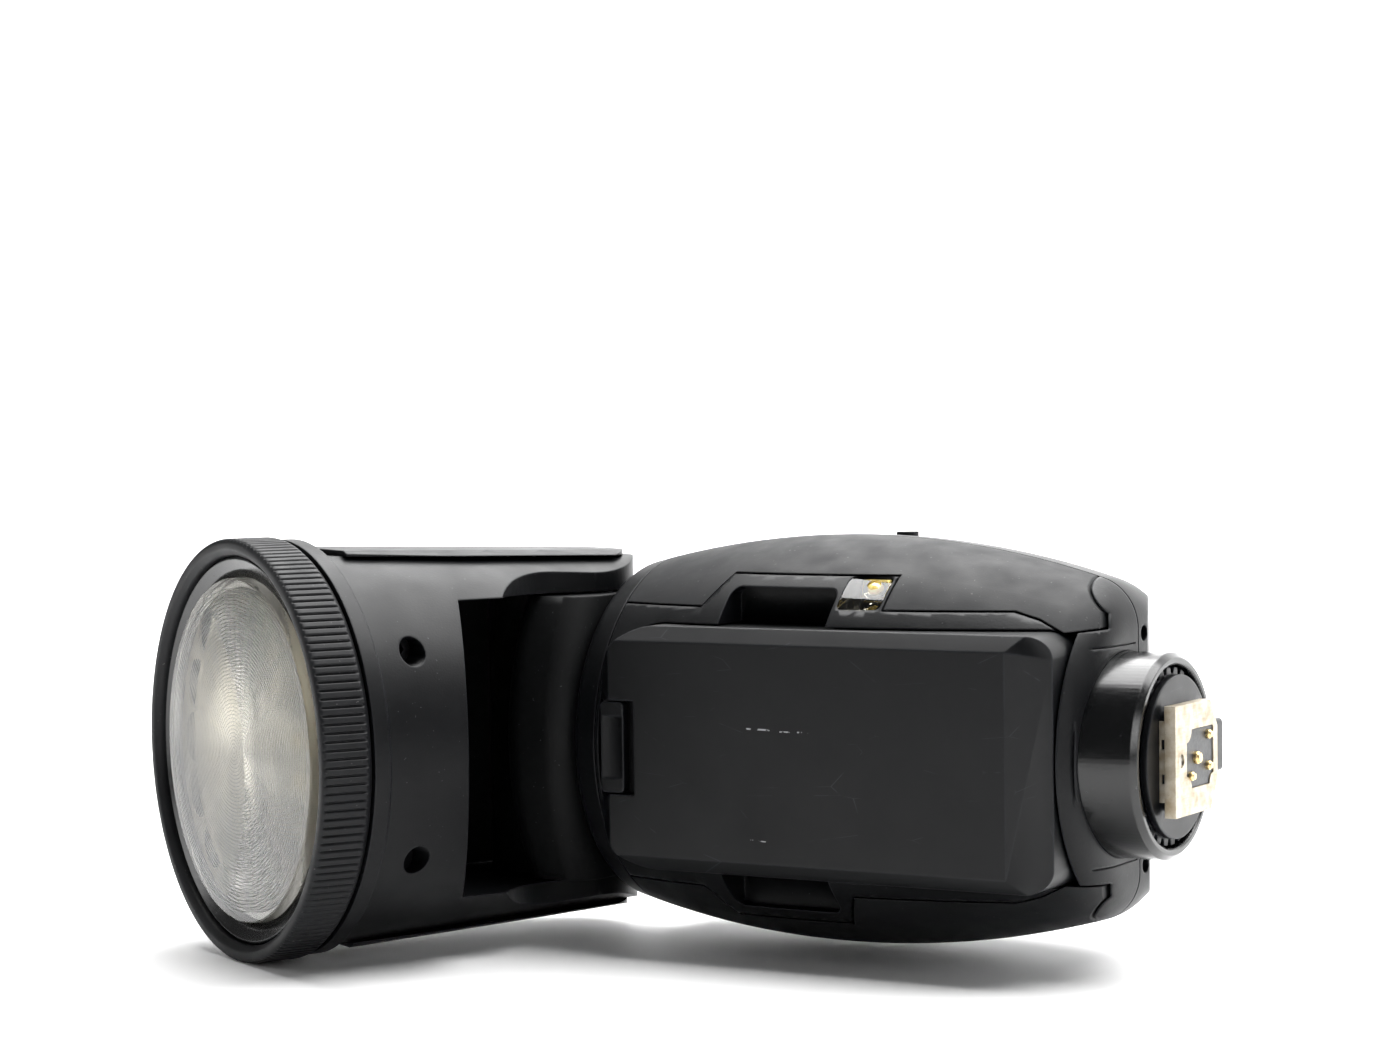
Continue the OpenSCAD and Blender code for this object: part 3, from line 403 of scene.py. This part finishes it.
def white_nylon():
    material, tree, shader, place = start_finish(
        "nylon, white moulded", "#eceae3", 0.4, Subsurface_Weight=0.15)
    shader.inputs["Subsurface Radius"].default_value = (0.002, 0.002, 0.0016)
    cloud = pattern(tree, place, 5, detail=3)
    tint(tree, shader, blend_colours(tree, spread(tree, cloud, 0.4, 0.8, 0.0, 1.0), "#d6d2c6", "#c3beb0"))
    relief(tree, shader, pattern(tree, place, 0.4), 0.01, soft_edge(tree, 0.3))
    return material


FINISH["white_plastic"] = white_nylon()
FINISH["plated_reflector"] = worn_metal("plastic, vacuum-plated", "#e6e3da", "#d2cfc5",
                                        0.34, 1.2, (1, 1, 1))


def phosphor_resin():
    material, tree, shader, place = start_finish(
        "lamp resin, yellow phosphor", "#e9d27a", 0.2, Coat_Weight=0.6)
    cloud = pattern(tree, place, 0.8, detail=3)
    tint(tree, shader, blend_colours(tree, spread(tree, cloud, 0.35, 0.7, 0.0, 1.0), "#efdb8c", "#cfae4e"))
    relief(tree, shader, cloud, 0.01)
    return material


FINISH["led_resin"] = phosphor_resin()
print("optics:", 6)

# %% [markdown]
# Inside pieces get simple finishes of their own: the green board under its solder mask and the dark
# panel of the display.

# %% Board and display


def solder_mask():
    material, tree, shader, place = start_finish("glass-fibre board, solder mask", "#1a5a38", 0.35)
    weave = add_node(tree, "ShaderNodeTexChecker", inputs={
        "Vector": place, "Scale": 1 / (1.2 * MM), "Color1": linear("#1c6140"), "Color2": linear("#18533a")})
    tint(tree, shader, weave.outputs["Color"])
    relief(tree, shader, weave.outputs["Fac"], 0.01)
    return material


def display_layers():
    material, tree, shader, place = start_finish("display panel, unlit", "#1c2626", 0.25)
    rows = add_node(tree, "ShaderNodeTexChecker", inputs={
        "Vector": place, "Scale": 1 / (0.5 * MM), "Color1": linear("#1e2929"), "Color2": linear("#1a2323")})
    tint(tree, shader, rows.outputs["Color"])
    relief(tree, shader, pattern(tree, place, 2), 0.003)
    return material


FINISH["board_green"] = solder_mask()
FINISH["display_panel"] = display_layers()
print("finishes in all:", len(FINISH))

# %% [markdown]
# Each solid arrives as loose triangles. A merged copy can be shaded smoothly across its curves while
# its real edges stay sharp, so the copy stands in for the solid, with the same shape to the last
# point. Its finish is the one that the part's record names for it; the neck and the contact block
# have finishes of their own.

# %% Merged copies of the solids
SLOT = {entry["node"]: entry["material_slot"] for entry in frame["record"]["subparts"]}
BODY = {name: body for body, names in frame["record"]["behaviour"]["bodies"].items() for name in names}


def take_over(piece, node, finish=None):
    """The piece moves with the node's body and is shown in its place."""
    slot_name = SLOT[node]
    piece.data.materials.clear()
    piece.data.materials.append(finish or FINISH[slot_name])
    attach(piece, BODY[node])
    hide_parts(node)
    return piece


# the neck's finish is painted darker for shade; the contact block is dark grey nylon
OWN_FINISH = {"swivel_neck": SHADED_NECK_FINISH, "contact_block": BLOCK_FINISH}


def merged_copy(node, sharp_degrees=14):
    shape = bmesh.new()
    shape.from_mesh(NODES[node].data)
    bmesh.ops.remove_doubles(shape, verts=shape.verts, dist=0.0005 * MM)
    mesh = bpy.data.meshes.new(node + "_shape")
    shape.to_mesh(mesh)
    shape.free()
    mesh.shade_smooth()
    mesh.set_sharp_from_angle(angle=math.radians(sharp_degrees))
    piece = bpy.data.objects.new(node + "_dressed", mesh)
    bpy.context.scene.collection.objects.link(piece)
    even = piece.modifiers.new("even shading", "WEIGHTED_NORMAL")
    even.keep_sharp, even.weight = True, 80
    return take_over(piece, node, OWN_FINISH.get(node))


OWN_SHAPES = {"zoom_ring", "front_lens"}
for name in NODES:
    if name not in OWN_SHAPES:
        merged_copy(name)
print("solids dressed:", len(NODES) - len(OWN_SHAPES))

# %% [markdown]
# The barrel of the head is a slight cone with two deep holes in it. Its long triangles can't hold an
# even sheen round the holes, so each corner on the underside of the cone gets its true direction.

# %% True normals on the barrel
BARREL_LEAST, BARREL_LEAN, NEAR_ENOUGH = 31.0, 0.05, math.radians(9)


def true_barrel(piece):
    mesh = piece.data
    piece.modifiers.clear()
    normals = [corner.vector.copy() for corner in mesh.corner_normals]
    for face in mesh.polygons:
        for corner in face.loop_indices:
            reach = mesh.vertices[mesh.loops[corner].vertex_index].co - HINGE
            outward = reach - LIGHT_AXIS * reach.dot(LIGHT_AXIS)
            if outward.length < BARREL_LEAST * MM or outward.dot(UNDERSIDE) < 0:
                continue
            true = (outward.normalized() - BARREL_LEAN * LIGHT_AXIS).normalized()
            if face.normal.angle(true, math.pi) < NEAR_ENOUGH:
                normals[corner] = true
    mesh.normals_split_custom_set(normals)


true_barrel(bpy.data.objects["head_shell_dressed"])
print("barrel corners set")

# %% [markdown]
# Round pieces are turned like on a lathe: a profile of (radius, height) points swept round Z.

# %% The lathe


def turned(name, profile, segments):
    """Closed ring or disc from a profile in millimetres; a closed profile makes a ring."""
    shape = bmesh.new()
    rings = []
    for radius, height in profile:
        if radius < 1e-6:
            rings.append([shape.verts.new((0, 0, height * MM))])
            continue
        rings.append([shape.verts.new((radius * MM * math.cos(math.tau * k / segments),
                                       radius * MM * math.sin(math.tau * k / segments), height * MM))
                      for k in range(segments)])
    closed = min(len(ring) for ring in rings) > 1
    pairs = list(zip(rings, rings[1:] + rings[:1] if closed else rings[1:]))
    for low, high in pairs:
        for k in range(segments):
            corners = [low[k % len(low)], low[(k + 1) % len(low)],
                       high[(k + 1) % len(high)], high[k % len(high)]]
            unique = list(dict.fromkeys(corners))
            if len(unique) > 2:
                shape.faces.new(unique)
    bmesh.ops.recalc_face_normals(shape, faces=shape.faces)
    mesh = bpy.data.meshes.new(name)
    shape.to_mesh(mesh)
    shape.free()
    mesh.shade_smooth()
    piece = bpy.data.objects.new(name, mesh)
    bpy.context.scene.collection.objects.link(piece)
    return piece


def settle(piece, matrix):
    """Puts the place of a piece into its mesh, so that its object stays at the origin."""
    piece.data.transform(matrix)
    piece.data.update()
    return piece


print("lathe ready")

# %% [markdown]
# The zoom ring is one lathe shape whose outside is pressed into ribs. Geometry Nodes do the pressing:
# the angle of each point gives its place in a rib, and points between two ribs move inwards.
# Rib count, depth and the band's ends are named inputs, so another ring takes other numbers.

# %% A tree that presses ribs


SET_BACK = 0.0005                             # the ribs start and end over this length


def start_tree(name, sizes):
    """A tree with its geometry, its named sizes and its finish as inputs."""
    tree = bpy.data.node_groups.new(name, "GeometryNodeTree")
    tree.interface.new_socket("Geometry", in_out="INPUT", socket_type="NodeSocketGeometry")
    for size, value in sizes.items():
        tree.interface.new_socket(size, in_out="INPUT", socket_type="NodeSocketFloat").default_value = value
    tree.interface.new_socket("Finish", in_out="INPUT", socket_type="NodeSocketMaterial")
    tree.interface.new_socket("Geometry", in_out="OUTPUT", socket_type="NodeSocketGeometry")
    given = add_node(tree, "NodeGroupInput").outputs
    here = add_node(tree, "ShaderNodeSeparateXYZ", inputs={
        0: add_node(tree, "GeometryNodeInputPosition").outputs[0]}).outputs
    radius = maths(tree, "SQRT", maths(tree, "ADD", maths(tree, "MULTIPLY", here[0], here[0]),
                                       maths(tree, "MULTIPLY", here[1], here[1])))
    return tree, given, here, radius


def end_tree(tree, given, offset):
    """Moves the points by the offset and gives the piece its finish."""
    moved = add_node(tree, "GeometryNodeSetPosition", inputs={
        "Geometry": given["Geometry"], "Offset": offset}).outputs[0]
    real = add_node(tree, "GeometryNodeRealizeInstances", inputs={0: moved}).outputs[0]
    done = add_node(tree, "GeometryNodeSetMaterial", inputs={"Geometry": real, "Material": given["Finish"]})
    add_node(tree, "NodeGroupOutput", inputs={0: done.outputs[0]})
    return tree


def rib_tree():
    tree, given, here, radius = start_tree("press ribs", {
        "Rib Count": 160.0, "Rib Depth": 0.0005, "Band From": 0.0, "Band To": 1.0, "Least Radius": 0.0362})
    sums = partial(maths, tree)
    turn = sums("DIVIDE", sums("ARCTAN2", here[1], here[0]), math.tau)
    wave = sums("COSINE", sums("MULTIPLY", sums("MULTIPLY", turn, given["Rib Count"]), math.tau))
    # a valley is narrower than a rib, so the wave is cut off above and eased below
    valley = sums("MULTIPLY_ADD", wave, 1.6, -0.55, clamp=True)
    above = sums("DIVIDE", sums("SUBTRACT", here[2], given["Band From"]), SET_BACK, clamp=True)
    below = sums("DIVIDE", sums("SUBTRACT", given["Band To"], here[2]), SET_BACK, clamp=True)
    outside = sums("GREATER_THAN", radius, given["Least Radius"])
    press = sums("MULTIPLY", sums("MULTIPLY", valley, outside), sums("MULTIPLY", above, below))
    inward = sums("MULTIPLY", sums("MULTIPLY", press, given["Rib Depth"]), -1.0)
    level = add_node(tree, "ShaderNodeCombineXYZ", inputs={"X": here[0], "Y": here[1]}).outputs[0]
    scaled = add_node(tree, "ShaderNodeVectorMath", {"operation": "SCALE"}, {
        0: vectors(tree, "NORMALIZE", level), "Scale": inward})
    return end_tree(tree, given, scaled.outputs["Vector"])


def run_tree(piece, tree, **values):
    """Runs a tree on a piece and keeps the result as its plain mesh."""
    modifier = piece.modifiers.new("tree", "NODES")
    modifier.node_group = tree
    sockets = {item.name: item.identifier for item in tree.interface.items_tree if item.in_out == "INPUT"}
    for name, value in values.items():
        modifier[sockets[name.replace("_", " ")]] = value
    evaluated = piece.evaluated_get(bpy.context.evaluated_depsgraph_get())
    mesh = bpy.data.meshes.new_from_object(evaluated)
    piece.modifiers.remove(modifier)
    piece.data = mesh
    print(piece.name, "faces:", len(mesh.polygons))
    return piece


RIBS = rib_tree()

# %% The zoom ring
ring_low, ring_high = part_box("zoom_ring")
FRONT = 65.8                                  # front rim, along the light axis from the hinge
RING_R = (ring_high.z - ring_low.z) / 2 / MM
RIB_COUNT, POINTS_PER_RIB = 160, 10
# (distance inside the ring's outside, distance behind its front rim), from the back round the outside
rim_points = [
    (3.05, 9.6), (1.3, 9.6), (0.95, 9.35), (0.6, 8.9), (0.35, 8.65), (0.12, 8.4), (0, 8.0), (0, 7.4),
    (0, 5), (0, 3), (0, 1.5), (0, 0.8), (0.12, 0.45), (0.38, 0.18), (0.7, 0.03), (0.95, 0),
    (1.7, 0), (1.95, 0.06), (2.2, 0.3), (2.75, 0.8), (2.95, 1.1), (3.05, 1.9),
]
ring_profile = [(RING_R - inside, FRONT - behind) for inside, behind in rim_points]
zoom_ring = turned("zoom_ring_ribbed", ring_profile, RIB_COUNT * POINTS_PER_RIB)
zoom_ring.data.materials.append(FINISH["ring_rubber"])
run_tree(zoom_ring, RIBS, Rib_Count=float(RIB_COUNT), Rib_Depth=0.55 * MM, Band_From=(FRONT - 8.6) * MM,
         Band_To=(FRONT - 0.35) * MM, Least_Radius=(RING_R - 1.3) * MM, Finish=FINISH["ring_rubber"])
take_over(settle(zoom_ring, HEAD_PLACE), "zoom_ring")

# %% [markdown]
# A Fresnel lens is a thick lens cut into rings and pushed flat. Its back is a staircase of slanting
# faces and short risers, and the slants grow steeper towards the rim. A second tree presses the
# staircase into the flat back of a turned disc: the radius of each point tells its step.

# %% A tree that presses lens steps


RISER = 0.96                                  # a riser takes the rest of each step


def step_tree():
    tree, given, here, radius = start_tree("press lens steps", {
        "Step Count": 44.0, "Lens Radius": 0.03, "Least Rise": 0.0001, "Added Rise": 0.0005, "Back": 0.0})
    sums = partial(maths, tree)
    step = sums("DIVIDE", sums("MULTIPLY", radius, given["Step Count"]), given["Lens Radius"])
    along = sums("SUBTRACT", step, sums("FLOOR", sums("ADD", step, 0.01)))
    rise = sums("ADD", given["Least Rise"], sums(
        "MULTIPLY", given["Added Rise"], sums("DIVIDE", radius, given["Lens Radius"])))
    drop = sums("MULTIPLY", rise, sums("SUBTRACT", 1.0, sums("DIVIDE", along, RISER)))
    from_back = sums("ABSOLUTE", sums("SUBTRACT", here[2], given["Back"]))
    on_back = sums("MULTIPLY", sums("LESS_THAN", from_back, 2e-5),
                   sums("LESS_THAN", radius, sums("ADD", given["Lens Radius"], 1e-5)))
    down = sums("MULTIPLY", sums("MULTIPLY", drop, on_back), -1.0)
    return end_tree(tree, given, add_node(tree, "ShaderNodeCombineXYZ", inputs={"Z": down}).outputs[0])


STEPS = step_tree()

# %% The stepped lens
LENS_R, DOME_RISE, DOME_POINTS = 30.5, 0.55, 12
LENS_BACK, LENS_EDGE = FRONT - 5.2, FRONT - 0.9
SEAT = LENS_BACK - 1.05                       # back of the rim that the lens sits on
lens_profile = [(0.0, LENS_BACK)]
for i in range(STEP_COUNT):
    lens_profile += [(STEP_R * (i + part) / STEP_COUNT, LENS_BACK) for part in (RISER, 1)]
lens_profile += [(STEP_R + 0.1, SEAT), (LENS_R - 0.1, SEAT), (LENS_R, SEAT + 0.1),
                 (LENS_R, LENS_EDGE - 0.25)]
for i in range(DOME_POINTS + 1):
    fraction = 1 - i / DOME_POINTS
    lens_profile.append(((LENS_R - 0.25) * fraction, LENS_EDGE + DOME_RISE * (1 - fraction ** 2)))
lens = turned("front_lens_stepped", lens_profile, 240)
lens.data.materials.append(FINISH["clear_lens"])
run_tree(lens, STEPS, Step_Count=float(STEP_COUNT), Lens_Radius=STEP_R * MM, Least_Rise=0.00012,
         Added_Rise=0.0005, Back=LENS_BACK * MM, Finish=FINISH["clear_lens"])
lens.data.set_sharp_from_angle(angle=math.radians(20))
take_over(settle(lens, HEAD_PLACE), "front_lens")

# %% [markdown]
# The table is one white sheet that runs flat under the flash and curves up behind it, so no
# horizon shows from the front. From behind, its front edge and the room beyond it show.

# %% White sweep
HALF_WIDTH, FRONT_EDGE, DEPTH, CURVE, HEIGHT, CURVE_ROWS = 6.0, -0.9, 2.2, 1.2, 5.0, 31
side_line = [(FRONT_EDGE, 0.0), (DEPTH, 0.0)]
for k in range(1, CURVE_ROWS + 1):
    angle = math.radians(90 * k / CURVE_ROWS)
    side_line.append((DEPTH + CURVE * math.sin(angle), CURVE * (1 - math.cos(angle))))
side_line.append((DEPTH + CURVE, HEIGHT))
sweep = bmesh.new()
rows = [[sweep.verts.new((x * HALF_WIDTH, y, z)) for x in (-1, 1)] for y, z in side_line]
for near, far in zip(rows, rows[1:]):
    sweep.faces.new((near[0], near[1], far[1], far[0]))
sweep_mesh = bpy.data.meshes.new("white_sweep")
sweep.to_mesh(sweep_mesh)
sweep.free()
sweep_mesh.shade_smooth()
sweep_object = bpy.data.objects.new("white_sweep", sweep_mesh)
bpy.context.scene.collection.objects.link(sweep_object)
paper, paper_tree, paper_shader, paper_place = start_finish("paper sweep, white", "#f7f7f7", 0.55)
relief(paper_tree, paper_shader, pattern(paper_tree, paper_place, 1.5), 0.01)
sweep_mesh.materials.append(paper)
print("sweep rows:", len(rows))

# %% [markdown]
# A product studio lights black plastic with large soft boxes: one overhead and a little behind, which
# draws the bright line along the top edges. Two weak ones at the sides draw the lens and the foot,
# two strong ones keep the curve of the sheet bright, and the room adds a little white from all over.

# %% Soft light
MIDDLE = (CAD_BOX[0] + CAD_BOX[1]) / 2


def soft_box(name, place, size, power, colour="#ffffff", aim=MIDDLE):
    light = bpy.data.lights.new(name, "AREA")
    light.shape, light.size, light.size_y = "RECTANGLE", size[0], size[1]
    light.energy, light.color = power, linear(colour)[:3]
    lamp = bpy.data.objects.new(name, light)
    bpy.context.scene.collection.objects.link(lamp)
    lamp.location = place
    lamp.rotation_euler = (aim - Vector(place)).to_track_quat("-Z", "Y").to_euler()
    return lamp


soft_box("overhead", (0.1, 0.45, 1.3), (2.0, 1.3), 75)
soft_box("lens_side", (-1.3, -0.7, 0.55), (0.5, 0.9), 5)
soft_box("foot_side", (1.2, -0.5, 0.5), (0.25, 0.7), 3)
soft_box("backdrop_left", (-1.6, 1.5, 1.6), (1.2, 1.2), 120, aim=Vector((-0.6, 3.4, 0.9)))
soft_box("backdrop_right", (1.6, 1.5, 1.6), (1.2, 1.2), 120, aim=Vector((0.6, 3.4, 0.9)))

room = bpy.data.worlds.new("studio room")
room.use_nodes = True
room.node_tree.nodes["Background"].inputs["Color"].default_value = linear("#ffffff")
room.node_tree.nodes["Background"].inputs["Strength"].default_value = 0.1
bpy.context.scene.world = room
bpy.context.scene.view_settings.view_transform = "Standard"

# %% [markdown]
# The camera stands low in front, a little right of the battery face, with a long lens: that keeps
# the round ring round and shows both the lens and the foot.

# %% Camera
HEADING, LOOK_DOWN, LEAN = 30.31, 2.37, -0.71      # degrees
STAND = HINGE + Vector((0.3403, -0.5283, 0.0629))
camera_data = bpy.data.cameras.new("camera")
camera_data.lens, camera_data.sensor_width = 86.66, 36.0
camera_data.clip_start, camera_data.clip_end = 0.02, 30.0
camera = bpy.data.objects.new("camera", camera_data)
bpy.context.scene.collection.objects.link(camera)
camera.matrix_world = (
    Matrix.Translation(STAND)
    @ Matrix.Rotation(math.radians(HEADING), 4, "Z")
    @ Matrix.Rotation(math.radians(90 - LOOK_DOWN), 4, "X")
    @ Matrix.Rotation(math.radians(LEAN), 4, "Z")
)
bpy.context.scene.camera = camera
print("camera at", [round(value, 3) for value in camera.location])
